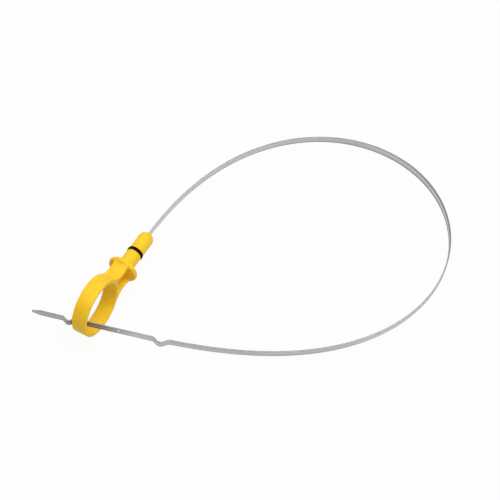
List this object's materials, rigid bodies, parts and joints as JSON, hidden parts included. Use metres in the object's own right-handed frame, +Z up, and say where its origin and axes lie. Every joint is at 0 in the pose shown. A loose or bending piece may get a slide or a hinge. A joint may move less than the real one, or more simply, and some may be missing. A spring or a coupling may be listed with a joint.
{
  "type": "engine oil dipstick",
  "caption": "Pull handle with a finger ring, a stop flange and a sealed plug, carrying a long springy steel blade with level kinks, bent into a loop and tucked through the ring.",
  "frame": {"origin": "on the table plane, under the middle of the bounding box", "axes": "+Z up from the table the part lies on, +Y the way the handle's nose points (it dips by 3.1 degrees), +X towards the side that the loop bulges to"},
  "size_m": [0.1844, 0.2039, 0.035],
  "materials": {
    "yellow_plastic": "satin moulded nylon",
    "black_rubber": "smooth, slightly oily",
    "spring_steel": "rolled strip, drawn lengthwise"
  },
  "bodies": {
    "root": {"handle": "yellow_plastic", "seal_ring": "black_rubber", "blade": "spring_steel"}
  },
  "joints": []
}
